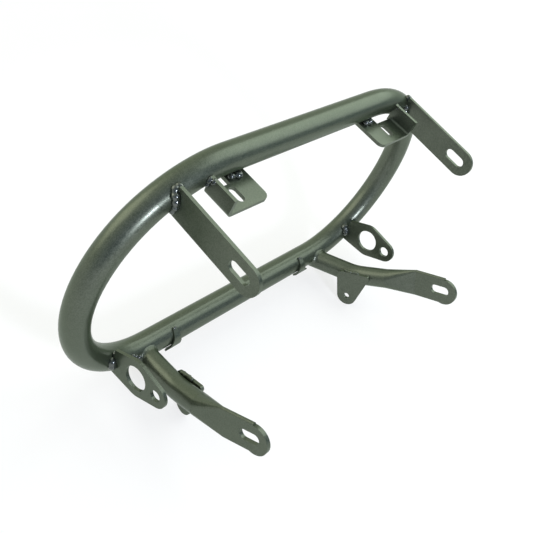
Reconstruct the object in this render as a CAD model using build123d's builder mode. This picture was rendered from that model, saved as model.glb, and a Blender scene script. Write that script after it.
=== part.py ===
"""Headlight bracket of a small scooter: a closed loop of tube round twin lamps, with welded straps, tabs and arms.

Frame: millimetres, seen from behind the bracket. +X is to the right, +Y forward through the loop and +Z up.
The origin is the middle of the bottom tube, on its centreline. The bracket mirrors about the YZ plane.
"""

from build123d import *
import os
from math import asin, cos, degrees, radians, sin, sqrt, tan

os.makedirs("parts", exist_ok=True)

# Loop tube: straight along the bottom and the top, three bends of falling curvature on each side
TUBE_OD = 22.2
BOTTOM_HALF = 109.5
LOW_BEND_R = 90.0
LOW_BEND_TURN = 56.4
SIDE_BEND_R = 94.0
SIDE_BEND_TURN = 92.3
TOP_BEND_R = 123.5

# Plate that the straps, lamp tabs, ears and arm tabs are cut from
PLATE = 3.0

# Upper straps
STRAP_FALL = 8.5
STRAP_START = 8.0
STRAP_OUT = 34.4
STRAP_WIDTH = 23.6
STRAP_REACH = 91.0
STRAP_RISE = 2.2
STRAP_SLOT = 19.5
STRAP_SLOT_WIDTH = 9.0
STRAP_SLOT_TO_TIP = 18.0

# Lamp tabs under the top tube
LAMP_TAB_FALL = 6.5
LAMP_TAB_OUT = 9.0
LAMP_TAB_LENGTH = 44.5
LAMP_TAB_REACH = 34.2
LAMP_TAB_FLANGE = 13.5
LAMP_TAB_FLANGE_START = 9.7
LAMP_TAB_BEND = 2.0
LAMP_TAB_CORNER = 6.0
LAMP_TAB_FOOT = 20.5
LAMP_TAB_RECESS = 12.2
LAMP_SLOT = 14.5
LAMP_SLOT_WIDTH = 7.0
LAMP_SLOT_IN = 21.3
LAMP_SLOT_REACH = 22.0

# Indicator ears
EAR_OUT = 49.3
EAR_LOBE_R = 17.0
EAR_LOBE_REACH = 35.0
EAR_LOBE_RISE = 12.9
EAR_TIP_R = 10.6
EAR_TIP_REACH = 56.5
EAR_TIP_RISE = 15.6
EAR_ROOT = 23.5
EAR_ROOT_REACH = 10.0
EAR_ROOT_RISE = 7.8
EAR_LARGE_HOLE = 21.6
EAR_SMALL_HOLE = 10.0

# Lower arms: a round tube bent up once, its end pressed flat, trimmed round and slotted
ARM_OD = 19.05
ARM_ROOT_OUT = 6.7
ARM_ROOT_DROP = 4.9
ARM_KNEE_OUT = 16.5
ARM_KNEE_REACH = 52.0
ARM_KNEE_HEIGHT = 8.7
ARM_KNEE_R = 60.0
ARM_FLAT_OUT = 30.1
ARM_KNEE_TO_TIP = 94.4
ARM_FLAT_HEIGHT = 40.0
ARM_FLAT_RISE = 26.5
ARM_PRESS_LENGTH = 30.0
ARM_CREASE = 10.0
ARM_FLAT_WIDTH = 27.0
ARM_FLAT_THICK = 3.4
ARM_SLOT_FROM_START = 26.3
ARM_SLOT = 18.5
ARM_SLOT_WIDTH = 9.0
ARM_TIP_R = 12.6
ARM_TIP_OFFSET = 1.0
ARM_SLOT_TO_TIP = 16.9

# Arm tabs on the inner side of the arms
ARM_TAB_SEAT = 0.8
ARM_TAB_LOBE_R = 10.2
ARM_TAB_LOBE = (57.2, -11.3)
ARM_TAB_HOLE = 6.0
ARM_TAB_HEEL_R = 6.0
ARM_TAB_HEEL = (44.3, 6.8)
ARM_TAB_HORN_R = 2.5
ARM_TAB_HORN = (66.6, 20.4)

# Wire hooks on the rear of the bottom tube
HOOK_IN = 27.0
HOOK_LENGTH = 16.0
HOOK_STRIP = 1.5
HOOK_SEAT = 0.2
HOOK_GAP = 0.9
HOOK_LAP = 2.0
HOOK_TOP_ANGLE = 53.0
HOOK_LOW_ANGLE = 45.0
HOOK_BEND_R = 8.0
HOOK_LEG = 11.5
HOOK_LEG_TOP = 4.0
HOOK_LEG_LEAN = 2.5
HOOK_FINGER_DROP = 3.5
HOOK_FINGER_TIP = 2.5
HOOK_ROUND = 1.0

# Fillet welds
WELD_LEG = 2.2
FOOT_WELD_ANGLE = 48.0

TUBE_R = TUBE_OD / 2
ARM_R = ARM_OD / 2

# Pieces keep their distance from the ends of the bottom straight
STRAP_X = BOTTOM_HALF + STRAP_OUT
LAMP_TAB_OUTER_X = BOTTOM_HALF + LAMP_TAB_OUT
LAMP_TAB_INNER_X = LAMP_TAB_OUTER_X - LAMP_TAB_LENGTH
LAMP_SLOT_X = LAMP_TAB_OUTER_X - LAMP_SLOT_IN
EAR_X = BOTTOM_HALF + EAR_OUT
ARM_ROOT_X = BOTTOM_HALF + ARM_ROOT_OUT
ARM_FLAT_X = BOTTOM_HALF + ARM_FLAT_OUT
HOOK_INNER_X = BOTTOM_HALF - HOOK_IN


def save(piece, name):
    piece.part.label = name
    export_step(piece.part, f"parts/{name}.step")


def save_pair(piece, name):
    """Writes the right-hand piece and its mirror image."""
    save(piece, f"{name}_right")
    with BuildPart() as left:
        mirror(piece.part, about=Plane.YZ)
    save(left, f"{name}_left")


# Loop tube
with BuildPart() as loop_tube:
    with BuildLine(Plane.XZ) as loop_path:
        bottom = Line((0, 0), (BOTTOM_HALF, 0))
        low_bend = JernArc(bottom @ 1, bottom % 1, LOW_BEND_R, LOW_BEND_TURN)
        side_bend = JernArc(low_bend @ 1, low_bend % 1, SIDE_BEND_R, SIDE_BEND_TURN)
        top_bend = JernArc(side_bend @ 1, side_bend % 1, TOP_BEND_R, 180 - LOW_BEND_TURN - SIDE_BEND_TURN)
        Line(top_bend @ 1, (0, (top_bend @ 1).Z))
        mirror(about=Plane.YZ)
    with BuildSketch(Plane(origin=bottom @ 0, z_dir=bottom % 0)):
        Circle(TUBE_R)
    sweep()
save(loop_tube, "loop_tube")

TOP_HALF = (top_bend @ 1).X
TOP_Z = (top_bend @ 1).Z


def top_tube_z(x):
    """Height of the top tube's centreline at x, on the straight or its bend."""
    return TOP_Z - TOP_BEND_R + sqrt(TOP_BEND_R**2 - max(0.0, x - TOP_HALF) ** 2)


def bottom_tube_z(x):
    """Height of the bottom tube's centreline at x, on the straight or its bend."""
    return LOW_BEND_R - sqrt(LOW_BEND_R**2 - max(0.0, x - BOTTOM_HALF) ** 2)


# Upper straps: local x runs rearward along the strap from the loop's plane
strap_fall = radians(STRAP_FALL)
strap_plane = Plane(
    origin=(STRAP_X, 0, top_tube_z(STRAP_X) + STRAP_RISE),
    x_dir=(0, -cos(strap_fall), -sin(strap_fall)),
    z_dir=(1, 0, 0),
)
strap_length = STRAP_REACH / cos(strap_fall)
with BuildPart() as upper_strap:
    with BuildSketch(strap_plane):
        with Locations((STRAP_START, 0)):
            Rectangle(
                strap_length - STRAP_START - STRAP_WIDTH / 2, STRAP_WIDTH, align=(Align.MIN, Align.CENTER)
            )
        with Locations((strap_length - STRAP_WIDTH / 2, 0)):
            Circle(STRAP_WIDTH / 2)
        with Locations((strap_length - STRAP_SLOT_TO_TIP, 0)):
            SlotOverall(STRAP_SLOT, STRAP_SLOT_WIDTH, mode=Mode.SUBTRACT)
    extrude(amount=PLATE / 2, both=True)
    add(loop_tube.part, mode=Mode.SUBTRACT)
save_pair(upper_strap, "upper_strap")

# Lamp tabs: an angle whose plate lies against the underside of the top tube, its flange standing up behind it
lamp_fall = radians(LAMP_TAB_FALL)
seat = Vector(0, TUBE_R * sin(lamp_fall), TOP_Z - TUBE_R * cos(lamp_fall))
rearward = (0, -cos(lamp_fall), -sin(lamp_fall))
upward = (0, -sin(lamp_fall), cos(lamp_fall))
fold_plane = Plane(origin=seat, x_dir=(1, 0, 0), z_dir=rearward)
seat_plane = Plane(origin=seat, x_dir=(1, 0, 0), z_dir=upward)
flange_inner_x = LAMP_TAB_OUTER_X - PLATE
with BuildPart() as lamp_tab:
    with BuildSketch(fold_plane):
        with BuildLine():
            FilletPolyline(
                (LAMP_TAB_INNER_X, -PLATE / 2),
                (LAMP_TAB_OUTER_X - PLATE / 2, -PLATE / 2),
                (LAMP_TAB_OUTER_X - PLATE / 2, LAMP_TAB_FLANGE),
                radius=LAMP_TAB_BEND + PLATE / 2,
            )
        trace(line_width=PLATE)
    extrude(amount=(LAMP_TAB_REACH + seat.Y) / cos(lamp_fall))
    # Recess over the plate's root, and the flange's root set back from the tube's lowest line
    with BuildSketch(seat_plane):
        with Locations((LAMP_TAB_INNER_X + LAMP_TAB_FOOT, 0)):
            Rectangle(
                flange_inner_x - LAMP_TAB_INNER_X - LAMP_TAB_FOOT,
                2 * (LAMP_TAB_RECESS + seat.Y),
                align=(Align.MIN, Align.CENTER),
            )
        with Locations((LAMP_TAB_OUTER_X, 0)):
            Rectangle(2 * PLATE, 2 * (LAMP_TAB_FLANGE_START + seat.Y))
        with Locations((LAMP_SLOT_X, -LAMP_SLOT_REACH - seat.Y)):
            SlotOverall(LAMP_SLOT, LAMP_SLOT_WIDTH, rotation=90)
    extrude(amount=2 * LAMP_TAB_FLANGE, both=True, mode=Mode.SUBTRACT)
    corner = lamp_tab.edges().filter_by(Axis((0, 0, 0), upward)).group_by(Axis.X)[0].sort_by(Axis.Y)[0]
    fillet(corner, LAMP_TAB_CORNER)
    add(loop_tube.part, mode=Mode.SUBTRACT)
save_pair(lamp_tab, "lamp_tab")

# Indicator ears: a teardrop hull, local x rearward and local y up from the bottom tube's centreline
ear_plane = Plane(origin=(EAR_X, 0, bottom_tube_z(EAR_X)), x_dir=(0, -1, 0), z_dir=(-1, 0, 0))
with BuildPart() as indicator_ear:
    with BuildSketch(ear_plane) as ear_outline:
        with Locations((EAR_ROOT_REACH, EAR_ROOT_RISE)):
            Rectangle(1, EAR_ROOT)
        with Locations((EAR_LOBE_REACH, EAR_LOBE_RISE)):
            Circle(EAR_LOBE_R)
        with Locations((EAR_TIP_REACH, EAR_TIP_RISE)):
            Circle(EAR_TIP_R)
        make_hull()
        with Locations((EAR_LOBE_REACH, EAR_LOBE_RISE)):
            Circle(EAR_LARGE_HOLE / 2, mode=Mode.SUBTRACT)
        with Locations((EAR_TIP_REACH, EAR_TIP_RISE)):
            Circle(EAR_SMALL_HOLE / 2, mode=Mode.SUBTRACT)
    extrude(amount=PLATE / 2, both=True)
    add(loop_tube.part, mode=Mode.SUBTRACT)
save_pair(indicator_ear, "indicator_ear")

# Lower arms: a swept tube, a pressed length lofted from round to flat, then the flat end. The loft's two
# sections have matching edges: each flat side starts as a narrow chord between two creases and widens to the
# full flat, and the rest of the wall closes into the rounded folds.
flat_rise = radians(ARM_FLAT_RISE)
tip_centre = ARM_SLOT_FROM_START + ARM_SLOT_TO_TIP - ARM_TIP_R
arm_reach = ARM_KNEE_REACH + ARM_KNEE_TO_TIP
flat_reach = arm_reach - ARM_TIP_R - tip_centre * cos(flat_rise) - ARM_TIP_OFFSET * sin(flat_rise)
flat_start = Vector(ARM_FLAT_X, -flat_reach, ARM_FLAT_HEIGHT)
arm_root = Vector(ARM_ROOT_X, 0, -ARM_ROOT_DROP)
arm_knee = Vector(BOTTOM_HALF + ARM_KNEE_OUT, -ARM_KNEE_REACH, ARM_KNEE_HEIGHT)
shank_end = flat_start - (flat_start - arm_knee).normalized() * ARM_PRESS_LENGTH
flat_plane = Plane(
    origin=flat_start,
    x_dir=(0, sin(flat_rise), cos(flat_rise)),
    z_dir=(0, -cos(flat_rise), sin(flat_rise)),
)
flat_side = Plane(origin=flat_start, x_dir=(0, -cos(flat_rise), sin(flat_rise)), z_dir=(1, 0, 0))
fold_r = ARM_FLAT_THICK / 2
fold_x = ARM_FLAT_WIDTH / 2 - fold_r
fold_half = 90 - ARM_CREASE
crease_x = ARM_R * sin(radians(ARM_CREASE))
crease_y = ARM_R * cos(radians(ARM_CREASE))
with BuildPart() as lower_arm:
    with BuildLine() as arm_path:
        FilletPolyline(arm_root, arm_knee, shank_end, radius=ARM_KNEE_R)
    with BuildSketch(Plane(origin=arm_path.line @ 0, z_dir=arm_path.line % 0)):
        Circle(ARM_R)
    sweep()
    with BuildSketch(Plane(origin=shank_end, x_dir=flat_plane.x_dir, z_dir=arm_path.line % 1)):
        with BuildLine():
            CenterArc((0, 0), ARM_R, -fold_half, 2 * fold_half)
            Line((crease_x, crease_y), (-crease_x, crease_y))
            CenterArc((0, 0), ARM_R, 180 - fold_half, 2 * fold_half)
            Line((-crease_x, -crease_y), (crease_x, -crease_y))
        make_face()
    with BuildSketch(flat_plane):
        with BuildLine():
            CenterArc((fold_x, 0), fold_r, -90, 180)
            Line((fold_x, fold_r), (-fold_x, fold_r))
            CenterArc((-fold_x, 0), fold_r, 90, 180)
            Line((-fold_x, -fold_r), (fold_x, -fold_r))
        make_face()
    loft(ruled=True)
    with BuildSketch(flat_plane):
        SlotOverall(ARM_FLAT_WIDTH, ARM_FLAT_THICK)
    extrude(amount=tip_centre)
    with BuildSketch(flat_side):
        with Locations((tip_centre, ARM_TIP_OFFSET)):
            Circle(ARM_TIP_R)
    extrude(amount=fold_r, both=True)
    with BuildSketch(flat_side):
        with Locations((ARM_SLOT_FROM_START, 0)):
            SlotOverall(ARM_SLOT, ARM_SLOT_WIDTH)
    extrude(amount=ARM_FLAT_THICK, both=True, mode=Mode.SUBTRACT)
    add(loop_tube.part, mode=Mode.SUBTRACT)
save_pair(lower_arm, "lower_arm")

# Arm tabs: a hull of three rounds against the arm's inner side, local x rearward along the arm
shank = (arm_knee - arm_root).normalized()
shank_level = Vector(shank.X, shank.Y, 0).normalized()
tab_side = Plane(origin=(ARM_ROOT_X, 0, 0), x_dir=shank_level, z_dir=(shank_level.Y, -shank_level.X, 0))
with BuildPart() as arm_tab:
    with BuildSketch(tab_side.offset(ARM_R - ARM_TAB_SEAT)):
        with Locations(ARM_TAB_LOBE):
            Circle(ARM_TAB_LOBE_R)
        with Locations(ARM_TAB_HEEL):
            Circle(ARM_TAB_HEEL_R)
        with Locations(ARM_TAB_HORN):
            Circle(ARM_TAB_HORN_R)
        make_hull()
        with Locations(ARM_TAB_LOBE):
            Circle(ARM_TAB_HOLE / 2, mode=Mode.SUBTRACT)
    extrude(amount=PLATE)
    add(lower_arm.part, mode=Mode.SUBTRACT)
save_pair(arm_tab, "arm_tab")

# Wire hooks: a strip seated on the tube's upper rear and bent down behind it, clear of the tube by a thin
# cable's width, then cut to a leg that widens downwards and a finger that points outwards
hook_in = TUBE_R + HOOK_STRIP / 2 - HOOK_SEAT
hook_out = TUBE_R + HOOK_GAP + HOOK_STRIP / 2
hook_top = radians(HOOK_TOP_ANGLE)
hook_low = radians(HOOK_LOW_ANGLE)
with BuildPart() as wire_hook:
    with BuildSketch(Plane(origin=(HOOK_INNER_X, 0, 0), x_dir=(0, -1, 0), z_dir=(-1, 0, 0))):
        with BuildLine():
            FilletPolyline(
                (
                    hook_in * cos(hook_top) - HOOK_LAP * sin(hook_top),
                    hook_in * sin(hook_top) + HOOK_LAP * cos(hook_top),
                ),
                (hook_out, (hook_in - hook_out * cos(hook_top)) / sin(hook_top)),
                (hook_out, -hook_out * tan(hook_low / 2)),
                (hook_out * cos(hook_low), -hook_out * sin(hook_low)),
                radius=HOOK_BEND_R,
            )
        trace(line_width=HOOK_STRIP)
    extrude(amount=-HOOK_LENGTH)
    with BuildSketch(Plane.XZ):
        with BuildLine():
            Polyline(
                (HOOK_INNER_X, -TUBE_R),
                (HOOK_INNER_X, 0),
                (HOOK_INNER_X + HOOK_LEG_LEAN, TUBE_R),
                (HOOK_INNER_X + HOOK_LEG_LEAN + HOOK_LEG_TOP, TUBE_R),
                (HOOK_INNER_X + HOOK_LEG, -HOOK_FINGER_DROP),
                (HOOK_INNER_X + HOOK_LENGTH, -HOOK_FINGER_DROP),
                (HOOK_INNER_X + HOOK_LENGTH, -HOOK_FINGER_DROP - HOOK_FINGER_TIP),
                (HOOK_INNER_X + HOOK_LEG / 2, -TUBE_R),
                close=True,
            )
        outline = make_face()
        fillet(outline.vertices(), HOOK_ROUND)
    extrude(amount=TUBE_OD, mode=Mode.INTERSECT)
    add(loop_tube.part, mode=Mode.SUBTRACT)
save_pair(wire_hook, "wire_hook")

# Welds beside a plate: a fillet round the tube's section at the plate's face, its outer side sloping at 45 degrees


def fillet_weld(face_x, side, tube_z, lean, low, high, plate):
    """Weld on one face of an upright plate, between two heights above the tube's centreline.

    lean is the angle in degrees at which the tube crosses the plate.
    """
    with BuildPart() as weld:
        with BuildSketch(Plane(origin=(face_x, 0, tube_z), x_dir=(0, -1, 0), z_dir=(side, 0, 0))):
            Ellipse(TUBE_R + WELD_LEG, TUBE_R / cos(radians(lean)) + WELD_LEG)
            # Local y points down where the weld is on the right face, and up on the left one
            middle = -side * (low + high) / 2
            with Locations((TUBE_R / 4, middle)):
                Rectangle(2 * TUBE_R, high - low, align=(Align.MIN, Align.CENTER), mode=Mode.INTERSECT)
        extrude(amount=WELD_LEG)
        crown = weld.edges().filter_by(GeomType.ELLIPSE).sort_by(Axis((0, 0, 0), (side, 0, 0)))[-1]
        chamfer(crown, WELD_LEG * 0.8)
        add(loop_tube.part, mode=Mode.SUBTRACT)
        add(plate, mode=Mode.SUBTRACT)
    return weld


strap_lean = degrees(asin((STRAP_X - TOP_HALF) / TOP_BEND_R))
ear_lean = degrees(asin((EAR_X - BOTTOM_HALF) / LOW_BEND_R))
for where, side in (("outer", 1), ("inner", -1)):
    weld = fillet_weld(STRAP_X + side * PLATE / 2, side, top_tube_z(STRAP_X), strap_lean, -8, 9, upper_strap.part)
    save_pair(weld, f"strap_weld_{where}")
    weld = fillet_weld(EAR_X + side * PLATE / 2, side, bottom_tube_z(EAR_X), ear_lean, -4, 10, indicator_ear.part)
    save_pair(weld, f"ear_weld_{where}")
flange_lean = degrees(asin((LAMP_TAB_OUTER_X - TOP_HALF) / TOP_BEND_R))
weld = fillet_weld(
    LAMP_TAB_OUTER_X, 1, top_tube_z(LAMP_TAB_OUTER_X), flange_lean, -5, 4.5, lamp_tab.part
)
save_pair(weld, "lamp_flange_weld")

# Weld in the wedge between the lamp tab's foot and the tube above it
foot_angle = radians(FOOT_WELD_ANGLE)
foot_section = Plane(origin=(LAMP_TAB_INNER_X + PLATE, seat.Y, seat.Z), x_dir=rearward, z_dir=(1, 0, 0))
with BuildPart() as foot_weld:
    with BuildSketch(foot_section):
        with BuildLine():
            Polyline(
                (TUBE_R * sin(foot_angle) / 2, 0),
                (TUBE_R * sin(foot_angle) + WELD_LEG / 2, 0),
                (TUBE_R * sin(foot_angle), -TUBE_R * (1 - cos(foot_angle))),
                close=True,
            )
        make_face()
    extrude(amount=LAMP_TAB_FOOT - 2 * PLATE)
    add(loop_tube.part, mode=Mode.SUBTRACT)
    add(lamp_tab.part, mode=Mode.SUBTRACT)
save_pair(foot_weld, "lamp_foot_weld")

# Weld all round the arm's root
with BuildPart() as arm_weld:
    with BuildSketch(Plane(origin=arm_root, z_dir=shank)):
        Circle(ARM_R + WELD_LEG)
    extrude(amount=2 * TUBE_R)
    with BuildSketch(Plane(origin=(ARM_ROOT_X, 0, bottom_tube_z(ARM_ROOT_X)), z_dir=(1, 0, 0))):
        Circle(TUBE_R + WELD_LEG)
    extrude(amount=2 * ARM_OD, both=True, mode=Mode.INTERSECT)
    add(loop_tube.part, mode=Mode.SUBTRACT)
    add(lower_arm.part, mode=Mode.SUBTRACT)
save_pair(arm_weld, "arm_weld")
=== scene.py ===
from math import cos, hypot, pi, radians, sin, sqrt
from random import Random

import bmesh
import bpy
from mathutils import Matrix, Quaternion, Vector


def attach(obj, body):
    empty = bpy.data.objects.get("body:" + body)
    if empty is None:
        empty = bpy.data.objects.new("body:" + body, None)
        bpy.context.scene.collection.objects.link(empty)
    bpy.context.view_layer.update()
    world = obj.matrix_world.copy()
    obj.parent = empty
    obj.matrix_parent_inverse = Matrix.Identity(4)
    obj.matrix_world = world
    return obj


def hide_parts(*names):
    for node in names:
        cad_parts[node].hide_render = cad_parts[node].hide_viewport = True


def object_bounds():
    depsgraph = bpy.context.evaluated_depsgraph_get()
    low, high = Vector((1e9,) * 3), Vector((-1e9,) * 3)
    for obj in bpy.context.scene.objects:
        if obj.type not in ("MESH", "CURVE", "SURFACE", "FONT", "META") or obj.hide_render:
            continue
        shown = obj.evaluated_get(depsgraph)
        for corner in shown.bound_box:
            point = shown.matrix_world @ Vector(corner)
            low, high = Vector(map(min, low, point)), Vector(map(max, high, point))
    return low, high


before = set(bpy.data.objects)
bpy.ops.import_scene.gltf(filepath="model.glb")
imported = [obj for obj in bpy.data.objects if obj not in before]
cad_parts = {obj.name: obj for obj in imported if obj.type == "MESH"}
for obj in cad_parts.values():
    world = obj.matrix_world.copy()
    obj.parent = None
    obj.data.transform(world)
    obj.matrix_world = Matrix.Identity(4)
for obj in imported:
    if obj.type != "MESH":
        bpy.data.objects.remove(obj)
cad_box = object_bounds()

# Camera: behind the bracket on its left, looking down on it, as the photograph was taken.
# It is rolled so that the loop leans across the frame from lower left to upper right.
camera_place = Vector((-0.45656, -0.23972, 0.48330))
camera_target = Vector((0.037326, 0.0, 0.017794))
camera_roll = radians(24.446)
camera = bpy.data.objects.new("camera", bpy.data.cameras.new("camera"))
bpy.context.scene.collection.objects.link(camera)
camera_aim = (camera_target - camera_place).to_track_quat("-Z", "Y")
camera.location = camera_place
camera.rotation_mode = "QUATERNION"
camera.rotation_quaternion = camera_aim @ Quaternion((0.0, 0.0, 1.0), camera_roll)
camera.data.sensor_width = 36.0
camera.data.lens = 50.95
camera.data.clip_start = 0.01
bpy.context.scene.camera = camera

# Loop tube: round steel tube bent into one closed loop and welded where its ends meet. Like the
# whole bracket it is sprayed with a dark grey-green metallic enamel, semi-gloss, with fine flake
# and a slight orange peel. Where it is seen at a low angle its colour turns darker and more olive:
# partly the flop of the metallic paint, partly painted shade along the silhouettes.
tube_r = 0.0111
top_half = 0.09084
top_z = 0.19051
top_bend_r = 0.1235
bottom_half = 0.1095
low_bend_r = 0.090
top_bend = (top_half, top_z - top_bend_r, top_bend_r)  # x and z of its centre, and its radius
low_bend = (bottom_half, low_bend_r, low_bend_r)

flake_scale = 1700.0
flake_share = 0.22
cloud_scale = 75.0
cloud_share = 0.08
gloss_spread = 0.08
sheen_tint = (0.55, 0.62, 0.55, 1.0)
# Darker olive tint at low viewing angles: partly metallic flop, partly painted shade at the
# silhouettes.
flop_and_edge_shade_tint = (0.8, 1.0, 0.6)
flop_and_edge_shade_blend = 0.35


def add_node(tree, kind, values=None):
    """Add a shader node to a tree and set the sockets that are given by name or number."""
    node = tree.nodes.new(f"ShaderNode{kind}")
    for socket, value in (values or {}).items():
        node.inputs[socket].default_value = value
    return node


def add_colour_mix(tree, colours):
    """Add a mix of two colours, A and B, to a tree and set those that are given."""
    node = tree.nodes.new("ShaderNodeMix")
    node.data_type = "RGBA"
    for socket, colour in colours.items():
        node.inputs[socket].default_value = (*colour, 1.0)
    return node


def connect(tree, *links):
    """Link pairs of an output and an input."""
    for output, into in links:
        tree.links.new(output, into)


sprayed_coat = bpy.data.node_groups.new("sprayed_coat", "ShaderNodeTree")
for socket, kind in (("Vector", "Vector"), ("Flake scale", "Float"), ("Peel scale", "Float")):
    sprayed_coat.interface.new_socket(socket, in_out="INPUT", socket_type=f"NodeSocket{kind}")
for socket in ("Flake", "Cloud", "Peel"):
    sprayed_coat.interface.new_socket(socket, in_out="OUTPUT", socket_type="NodeSocketFloat")
coat_in = sprayed_coat.nodes.new("NodeGroupInput")
coat_out = sprayed_coat.nodes.new("NodeGroupOutput")
flake = add_node(sprayed_coat, "TexVoronoi")
flake_value = add_node(sprayed_coat, "SeparateColor")
cloud = add_node(sprayed_coat, "TexNoise", {"Scale": cloud_scale, "Detail": 5.0, "Roughness": 0.6})
peel = add_node(sprayed_coat, "TexNoise", {"Detail": 3.0, "Roughness": 0.55})
connect(
    sprayed_coat,
    (coat_in.outputs["Vector"], flake.inputs["Vector"]),
    (coat_in.outputs["Flake scale"], flake.inputs["Scale"]),
    (flake.outputs["Color"], flake_value.inputs["Color"]),
    (flake_value.outputs["Red"], coat_out.inputs["Flake"]),
    (coat_in.outputs["Vector"], cloud.inputs["Vector"]),
    (cloud.outputs["Fac"], coat_out.inputs["Cloud"]),
    (coat_in.outputs["Vector"], peel.inputs["Vector"]),
    (coat_in.outputs["Peel scale"], peel.inputs["Scale"]),
    (peel.outputs["Fac"], coat_out.inputs["Peel"]),
)


def enamel(
    name, dark, light, peel_scale, peel_height, roughness, metallic, coat_weight, coat_roughness
):
    """Metallic enamel under a clear coat; its flakes mix a dark and a light colour."""
    paint = bpy.data.materials.new(name)
    paint.use_nodes = True
    tree = paint.node_tree
    shader = tree.nodes["Principled BSDF"]
    shader.inputs["Metallic"].default_value = metallic
    shader.inputs["Specular Tint"].default_value = sheen_tint
    shader.inputs["Coat Weight"].default_value = coat_weight
    shader.inputs["Coat Roughness"].default_value = coat_roughness
    place = add_node(tree, "TexCoord")
    coat = add_node(tree, "Group")
    coat.node_tree = sprayed_coat
    coat.inputs["Flake scale"].default_value = flake_scale
    coat.inputs["Peel scale"].default_value = peel_scale
    clouds = add_node(tree, "MapRange", {"From Min": 0.3, "From Max": 0.7, "To Max": cloud_share})
    grain = add_node(tree, "Math", {1: flake_share})
    grain.operation = "MULTIPLY_ADD"
    body = add_colour_mix(tree, {"A": dark, "B": light})
    # Darker, more olive colour towards the silhouettes: partly metallic flop, partly painted shade.
    angle = add_node(tree, "LayerWeight", {"Blend": flop_and_edge_shade_blend})
    olive = [part * tint for part, tint in zip(dark, flop_and_edge_shade_tint)]
    colour = add_colour_mix(tree, {"B": olive})
    gloss = add_node(
        tree, "MapRange", {"To Min": roughness - gloss_spread, "To Max": roughness + gloss_spread}
    )
    ripple = add_node(tree, "Bump", {"Strength": 0.6, "Distance": peel_height})
    connect(
        tree,
        (place.outputs["Object"], coat.inputs["Vector"]),
        (coat.outputs["Cloud"], clouds.inputs["Value"]),
        (coat.outputs["Flake"], grain.inputs[0]),
        (clouds.outputs["Result"], grain.inputs[2]),
        (grain.outputs[0], body.inputs["Factor"]),
        (body.outputs["Result"], colour.inputs["A"]),
        (angle.outputs["Facing"], colour.inputs["Factor"]),
        (colour.outputs["Result"], shader.inputs["Base Color"]),
        (coat.outputs["Flake"], gloss.inputs["Value"]),
        (gloss.outputs["Result"], shader.inputs["Roughness"]),
        (coat.outputs["Peel"], ripple.inputs["Height"]),
        (ripple.outputs["Normal"], shader.inputs["Normal"]),
    )
    return paint


bracket_paint = enamel(
    "bracket_paint",
    dark=(0.065, 0.077, 0.058),
    light=(0.275, 0.305, 0.24),
    peel_scale=1300.0,
    peel_height=0.00006,
    roughness=0.36,
    metallic=0.7,
    coat_weight=0.30,
    coat_roughness=0.22,
)


def spray(*nodes):
    """Give pieces of the bracket its paint."""
    for node in nodes:
        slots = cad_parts[node].data.materials
        slots.clear()
        slots.append(bracket_paint)


spray("loop_tube")

# Upper straps: flat steel bar with a coped root, welded by hand to the rear of the top bends on
# both faces. Each weld is a short bead of overlapping nuggets, glossier than the bar because the
# coat lies thick on it, and all but one run over the top of the bar. The beads' paint is darker
# than the bar's, as painted shade in the corners they fill.
spray("upper_strap_right", "upper_strap_left")
plate_half = 0.0015
strap_x = 0.1439
strap_bead_low = -0.0085
strap_bead_high = 0.0078
strap_bead_stopped = 0.0064
strap_bead_stand = 0.0016
strap_bead_over_top = ((0.0018, -0.0074, 0.0095), (0.0004, -0.0066, 0.0100))
strap_nugget_r = 0.0033
strap_nugget_pitch = 0.0043

# Same enamel as the bar, glossier, with darker colours that are painted shade of the corners the
# beads lie in.
shaded_weld_paint = enamel(
    "shaded_weld_paint",
    dark=(0.050, 0.058, 0.056),
    light=(0.22, 0.24, 0.23),
    peel_scale=900.0,
    peel_height=0.00010,
    roughness=0.20,
    metallic=0.75,
    coat_weight=0.9,
    coat_roughness=0.10,
)

nugget_sizes = (0.86, 1.12)  # this and the next four are shares of the bead's radius
nugget_drift = 0.2
nugget_lead = 0.6
nugget_end = 0.98
thinnest_neck = 0.05
nugget_rings = 9
nugget_sides = 16
corner_steps = 8
corner_back = 0.6
left_seed_shift = 20
both_sides = (("right", False), ("left", True))


def weld_piece(name, node, rings, paint, endless=False):
    """Skin rings of points into one weld, in place of the plain weld in a node if one is named."""
    mesh = bmesh.new()
    loops = [[mesh.verts.new(point) for point in ring] for ring in rings]
    sides = len(loops[0])
    for near, far in zip(loops, loops[1:] + loops[:1] if endless else loops[1:]):
        for s in range(sides):
            t = (s + 1) % sides
            mesh.faces.new((near[s], near[t], far[t], far[s]))
    if not endless:
        mesh.faces.new(loops[0][::-1])
        mesh.faces.new(loops[-1])
    bmesh.ops.recalc_face_normals(mesh, faces=mesh.faces)
    for face in mesh.faces:
        face.smooth = True
    data = bpy.data.meshes.new(name)
    mesh.to_mesh(data)
    mesh.free()
    data.materials.append(paint)
    piece = bpy.data.objects.new(name, data)
    bpy.context.scene.collection.objects.link(piece)
    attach(piece, "root")
    if node:
        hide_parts(node)


def place_on_line(points, run):
    """Place on a line of points at a run from its start, and the line's heading there."""
    for start, end in zip(points, points[1:]):
        span = (end - start).length
        if run <= span or end is points[-1]:
            break
        run -= span
    heading = (end - start).normalized()
    return start + heading * run, heading


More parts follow.
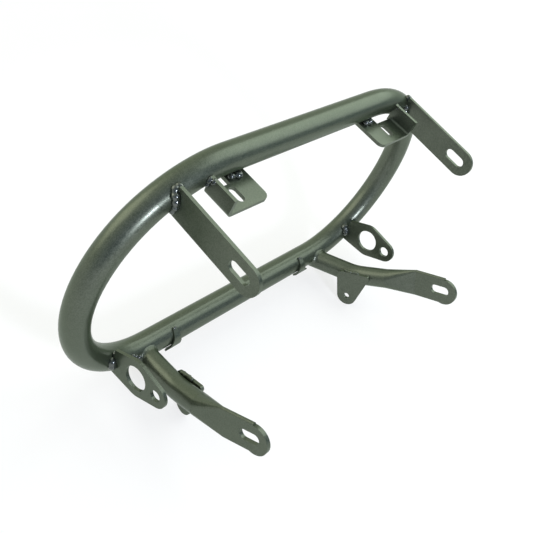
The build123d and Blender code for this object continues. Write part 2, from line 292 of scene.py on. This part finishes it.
def nugget_bead(name, node, line, radius, pitch, seed, mirrored, paint=shaded_weld_paint):
    """Hand-laid bead along a line: round nuggets of uneven size, each lapping over the last."""
    chance = Random(seed + left_seed_shift * mirrored)
    points = [Vector((-x if mirrored else x, y, z)) for x, y, z in line]
    length = sum((b - a).length for a, b in zip(points, points[1:]))
    count = max(2, round(length / pitch))
    lead = nugget_lead * radius
    step = (length - 2 * lead) / (count - 1)
    nuggets = []
    for i in range(count):
        drift = Vector([chance.uniform(-1, 1) for _ in range(3)]) * radius * nugget_drift
        nuggets.append((lead + step * i, radius * chance.uniform(*nugget_sizes), drift))
    first = nuggets[0][0] - nuggets[0][1] * nugget_end
    last = nuggets[-1][0] + nuggets[-1][1] * nugget_end
    across = place_on_line(points, first)[1].orthogonal()
    rings = []
    for i in range(count * nugget_rings + 1):
        run = first + (last - first) * i / (count * nugget_rings)
        swell, k = max((size**2 - (run - at) ** 2, n) for n, (at, size, _) in enumerate(nuggets))
        swell = sqrt(max(swell, (radius * thinnest_neck) ** 2))
        reach = (run - nuggets[k][0]) / step
        beside = min(k + 1, count - 1) if reach > 0 else max(k - 1, 0)
        centre, heading = place_on_line(points, run)
        centre += nuggets[k][2].lerp(nuggets[beside][2], abs(reach))
        across = (across - heading * across.dot(heading)).normalized()
        over = heading.cross(across)
        turns = [2 * pi * n / nugget_sides for n in range(nugget_sides)]
        rings.append([centre + (across * cos(turn) + over * sin(turn)) * swell for turn in turns])
    weld_piece(name, node, rings, paint)


def middle_z(bend, x, side):
    """Height of a bend's centreline at x, on the upper side of its centre (1) or the lower (-1)."""
    centre_x, centre_z, bend_r = bend
    return centre_z + side * sqrt(bend_r**2 - (x - centre_x) ** 2)


def corner_line(bend, face_x, outward, tube_z, low, high, stand):
    """Line in the corner between an upright plate's face and a bend's rear, from low to high."""
    centre_x, centre_z, bend_r = bend
    x = face_x + outward * stand
    line = []
    for i in range(corner_steps + 1):
        z = tube_z + low + (high - low) * i / corner_steps
        off = hypot(x - centre_x, z - centre_z) - bend_r
        line.append((x, -sqrt(max(tube_r**2 - off**2, 0.0)) - stand * corner_back, z))
    return line


strap_z = middle_z(top_bend, strap_x, 1)
for hand, mirrored in both_sides:
    for face, outward, seed in (("outer", 1, 3), ("inner", -1, 8)):
        runs_over = mirrored or face == "outer"
        line = corner_line(
            top_bend,
            strap_x + outward * plate_half,
            outward,
            strap_z,
            strap_bead_low,
            strap_bead_high if runs_over else strap_bead_stopped,
            strap_bead_stand,
        )
        if runs_over:
            line += [(strap_x + outward * x, y, strap_z + z) for x, y, z in strap_bead_over_top]
        nugget_bead(
            f"strap_bead_{face}_{hand}",
            f"strap_weld_{face}_{hand}",
            line,
            radius=strap_nugget_r,
            pitch=strap_nugget_pitch,
            seed=seed,
            mirrored=mirrored,
        )

# Lamp tabs: plate folded to an angle, its foot laid against the underside of the top tube and
# its flange standing behind it. A bead fills the wedge over the foot, not at the same place on
# both sides, and another holds the flange's outer face and runs over its top edge.
spray("lamp_tab_right", "lamp_tab_left")
tab_outer_x = 0.1185
tab_inner_x = 0.0740
flange_bead_low = -0.0040
flange_bead_high = 0.0020
flange_bead_stand = 0.0006
flange_bead_over_top = ((-0.0012, -0.0118, 0.0024), (-0.0015, -0.0155, 0.0012))
flange_nugget_r = 0.0026
flange_nugget_pitch = 0.0040
foot_bead_length = 0.0100
foot_bead_y = -0.0092
foot_bead_z = top_z - 0.0103
foot_nugget_r = 0.0032
foot_nugget_pitch = 0.0045

tab_z = middle_z(top_bend, tab_outer_x, 1)
for hand, mirrored, foot_bead_in in (("right", False, 0.0035), ("left", True, 0.0085)):
    line = corner_line(
        top_bend, tab_outer_x, 1, tab_z, flange_bead_low, flange_bead_high, flange_bead_stand
    )
    line += [(tab_outer_x + x, y, tab_z + z) for x, y, z in flange_bead_over_top]
    nugget_bead(
        f"flange_bead_{hand}",
        f"lamp_flange_weld_{hand}",
        line,
        radius=flange_nugget_r,
        pitch=flange_nugget_pitch,
        seed=5,
        mirrored=mirrored,
    )
    foot_start = tab_inner_x + foot_bead_in
    nugget_bead(
        f"foot_bead_{hand}",
        f"lamp_foot_weld_{hand}",
        [(x, foot_bead_y, foot_bead_z) for x in (foot_start, foot_start + foot_bead_length)],
        radius=foot_nugget_r,
        pitch=foot_nugget_pitch,
        seed=6,
        mirrored=mirrored,
    )

# Indicator ears: drilled plates that stand behind the lower bends and carry the indicators. They
# are welded like the straps, with a few nuggets beside the upper half of each face.
spray("indicator_ear_right", "indicator_ear_left")
ear_x = 0.1588
ear_bead_low = 0.0030
ear_bead_high = 0.0104
ear_bead_stand = 0.0011
ear_nugget_r = 0.0036
ear_nugget_pitch = 0.0034

ear_z = middle_z(low_bend, ear_x, -1)
for hand, mirrored in both_sides:
    for face, outward, seed in (("outer", 1, 11), ("inner", -1, 14)):
        line = corner_line(
            low_bend,
            ear_x + outward * plate_half,
            outward,
            ear_z,
            ear_bead_low,
            ear_bead_high,
            ear_bead_stand,
        )
        nugget_bead(
            f"ear_bead_{face}_{hand}",
            f"ear_weld_{face}_{hand}",
            line,
            radius=ear_nugget_r,
            pitch=ear_nugget_pitch,
            seed=seed,
            mirrored=mirrored,
        )

# Lower arms: thinner steel tube, coped to the bottom of the loop and welded all round with a
# smooth hollow fillet, its far end pressed flat. On the left a few nuggets run on from the fillet
# along the loop.
spray("lower_arm_right", "lower_arm_left")
arm_r = 0.009525
arm_root = Vector((0.1162, 0.0, -0.0049))
arm_knee = Vector((0.1260, -0.0520, 0.0087))
joint_within = 0.04
fillet_leg = 0.0040
fillet_least = 0.90
fillet_wave = 0.16
fillet_waves = 11
fillet_lean = 0.6
fillet_sunk = 0.0001
fillet_root = 0.0008
fillet_rings = 96
fillet_steps = 7
root_bead_line = (
    (0.1370, -0.0089, 0.0113),
    (0.1313, -0.0103, 0.0069),
    (0.1250, -0.0112, 0.0030),
)
root_nugget_r = 0.0019
root_nugget_pitch = 0.0042

shank = (arm_knee - arm_root).normalized()
shank_side = shank.cross(Vector((0.0, 0.0, 1.0))).normalized()
shank_up = shank_side.cross(shank)


def loop_middle(p):
    """Nearest point to p on the centreline of the bottom tube and its bend."""
    if p.x <= bottom_half:
        return Vector((p.x, 0.0, 0.0))
    spoke = Vector((p.x - bottom_half, 0.0, p.z - low_bend_r)).normalized()
    return Vector((bottom_half, 0.0, low_bend_r)) + spoke * low_bend_r


def arm_joint(out):
    """Place where the arm's wall meets the loop on the side out, found by halving."""
    near, far = 0.0, joint_within
    for _ in range(30):
        half = (near + far) / 2
        p = arm_root + out * arm_r + shank * half
        if (p - loop_middle(p)).length < tube_r:
            near = half
        else:
            far = half
    return arm_root + out * arm_r + shank * far


for hand, mirrored in both_sides:
    rings = []
    for i in range(fillet_rings):
        turn = 2 * pi * i / fillet_rings
        out = shank_side * cos(turn) + shank_up * sin(turn)
        joint = arm_joint(out)
        wall = (joint - loop_middle(joint)).normalized()
        wave = abs(sin(fillet_waves * turn + 2 * mirrored))
        leg = fillet_leg * (fillet_least + fillet_wave * wave)
        lean = out - shank * fillet_lean
        lean = (lean - wall * lean.dot(wall)).normalized()
        on_arm = joint + shank * leg - out * fillet_sunk
        foot = joint + lean * leg
        middle = loop_middle(foot)
        on_loop = middle + (foot - middle).normalized() * (tube_r - fillet_sunk)
        section = []
        for k in range(fillet_steps + 1):
            t = k / fillet_steps
            section.append(on_arm * (1 - t) ** 2 + joint * 2 * t * (1 - t) + on_loop * t**2)
        section.append(joint - (out + wall) * fillet_root)
        rings.append([Vector((-v.x if mirrored else v.x, v.y, v.z)) for v in section])
    weld_piece(f"arm_bead_{hand}", f"arm_weld_{hand}", rings, bracket_paint, endless=True)
nugget_bead(
    "arm_root_bead_left",
    None,
    root_bead_line,
    radius=root_nugget_r,
    pitch=root_nugget_pitch,
    seed=21,
    mirrored=True,
)

# Arm tabs: small drilled steel plates laid against the inner side of the arms and held by a short
# thin bead along the top, which is as dull as the plate.
spray("arm_tab_right", "arm_tab_left")
tab_bead_in = 0.0095
tab_bead_ends = ((0.0430, 0.0128), (0.0570, 0.01896))
tab_nugget_r = 0.0020
tab_nugget_pitch = 0.0018

level = Vector((shank.x, shank.y, 0.0)).normalized()
inward = Vector((level.y, -level.x, 0.0))
tab_root = Vector((arm_root.x, 0.0, 0.0)) + inward * tab_bead_in
for hand, mirrored in both_sides:
    nugget_bead(
        f"arm_tab_bead_{hand}",
        None,
        [tab_root + level * run + Vector((0.0, 0.0, z)) for run, z in tab_bead_ends],
        radius=tab_nugget_r,
        pitch=tab_nugget_pitch,
        seed=23,
        mirrored=mirrored,
        paint=bracket_paint,
    )

# Wire hooks: thin steel strip bent down behind the bottom tube to hold the lamps' cable, with its
# upper end tacked to the tube by two small nuggets.
spray("wire_hook_right", "wire_hook_left")
tack_x = (0.0852, 0.0884)
tack_turn = radians(62.0)
tack_y = -tube_r * cos(tack_turn) - 0.0003
tack_z = tube_r * sin(tack_turn) + 0.0006
tack_nugget_r = 0.0013
tack_nugget_pitch = 0.0018
for hand, mirrored in both_sides:
    nugget_bead(
        f"hook_tack_{hand}",
        None,
        [(x, tack_y, tack_z) for x in tack_x],
        radius=tack_nugget_r,
        pitch=tack_nugget_pitch,
        seed=31,
        mirrored=mirrored,
    )

# Floor: a plain white sheet under the bracket that takes its shadow. A share of its white is
# its own light, seen by the camera and in reflections only, so that it shows as white.
floor_size = 14.0
floor_own_light = 0.7
bpy.ops.mesh.primitive_plane_add(size=floor_size, location=(0.0, 0.0, cad_box[0][2]))
floor = bpy.context.object
floor.name = "floor"
floor_white = bpy.data.materials.new("floor_white")
floor_white.use_nodes = True
tree = floor_white.node_tree
sheet = tree.nodes["Principled BSDF"]
sheet.inputs["Base Color"].default_value = (0.93, 0.93, 0.93, 1.0)
sheet.inputs["Roughness"].default_value = 0.95
sheet.inputs["Specular IOR Level"].default_value = 0.1
glow = add_node(tree, "Emission")
rays = add_node(tree, "LightPath")
seen = rays.outputs["Is Camera Ray"]
for ray in ("Is Glossy Ray", "Is Transmission Ray"):
    either = add_node(tree, "Math")
    either.operation = "ADD"
    connect(tree, (seen, either.inputs[0]), (rays.outputs[ray], either.inputs[1]))
    seen = either.outputs[0]
share = add_node(tree, "Math", {1: floor_own_light})
share.operation = "MULTIPLY"
blend = add_node(tree, "MixShader")
connect(
    tree,
    (seen, share.inputs[0]),
    (share.outputs[0], blend.inputs["Fac"]),
    (sheet.outputs["BSDF"], blend.inputs[1]),
    (glow.outputs["Emission"], blend.inputs[2]),
    (blend.outputs["Shader"], tree.nodes["Material Output"].inputs["Surface"]),
)
floor.data.materials.append(floor_white)

# Light: a room whose far wall is pale and warm and whose near side is dim and cool. A broad lamp
# stands on the right and a warm one in front on the left; a small cool one behind the bracket
# leaves its gleam on the bends.
near_wall = (0.20, 0.26, 0.34)
far_wall = (0.93, 0.97, 0.80)
room = bpy.data.worlds.new("room")
bpy.context.scene.world = room
room.use_nodes = True
tree = room.node_tree
sky = tree.nodes["Background"]
sky.inputs["Strength"].default_value = 1.0
heading = add_node(tree, "TexCoord")
bearing = add_node(tree, "SeparateXYZ")
walls = add_node(tree, "MapRange", {"From Min": -0.6, "From Max": 0.9})
wall_colour = add_colour_mix(tree, {"A": near_wall, "B": far_wall})
connect(
    tree,
    (heading.outputs["Generated"], bearing.inputs["Vector"]),
    (bearing.outputs["Y"], walls.inputs["Value"]),
    (walls.outputs["Result"], wall_colour.inputs["Factor"]),
    (wall_colour.outputs["Result"], sky.inputs["Color"]),
)


def soft_lamp(name, place, size, power, colour):
    """Square lamp at a place, turned to the middle of the bracket."""
    lamp = bpy.data.objects.new(name, bpy.data.lights.new(name, "AREA"))
    bpy.context.scene.collection.objects.link(lamp)
    lamp.location = place
    lamp.rotation_mode = "QUATERNION"
    lamp.rotation_quaternion = (Vector((0.0, 0.0, 0.1)) - Vector(place)).to_track_quat("-Z", "Y")
    lamp.data.size = size
    lamp.data.energy = power
    lamp.data.color = colour


soft_lamp("right_window", (1.38, -0.20, 1.50), 1.9, 25.0, (0.95, 1.0, 0.95))
soft_lamp("front_lamp", (-0.90, 1.50, 1.06), 1.5, 12.0, (1.0, 0.95, 0.80))
soft_lamp("gleam", (-0.34, -1.30, 0.74), 0.22, 15.0, (0.84, 0.85, 1.0))

bpy.context.scene.view_settings.view_transform = "Standard"
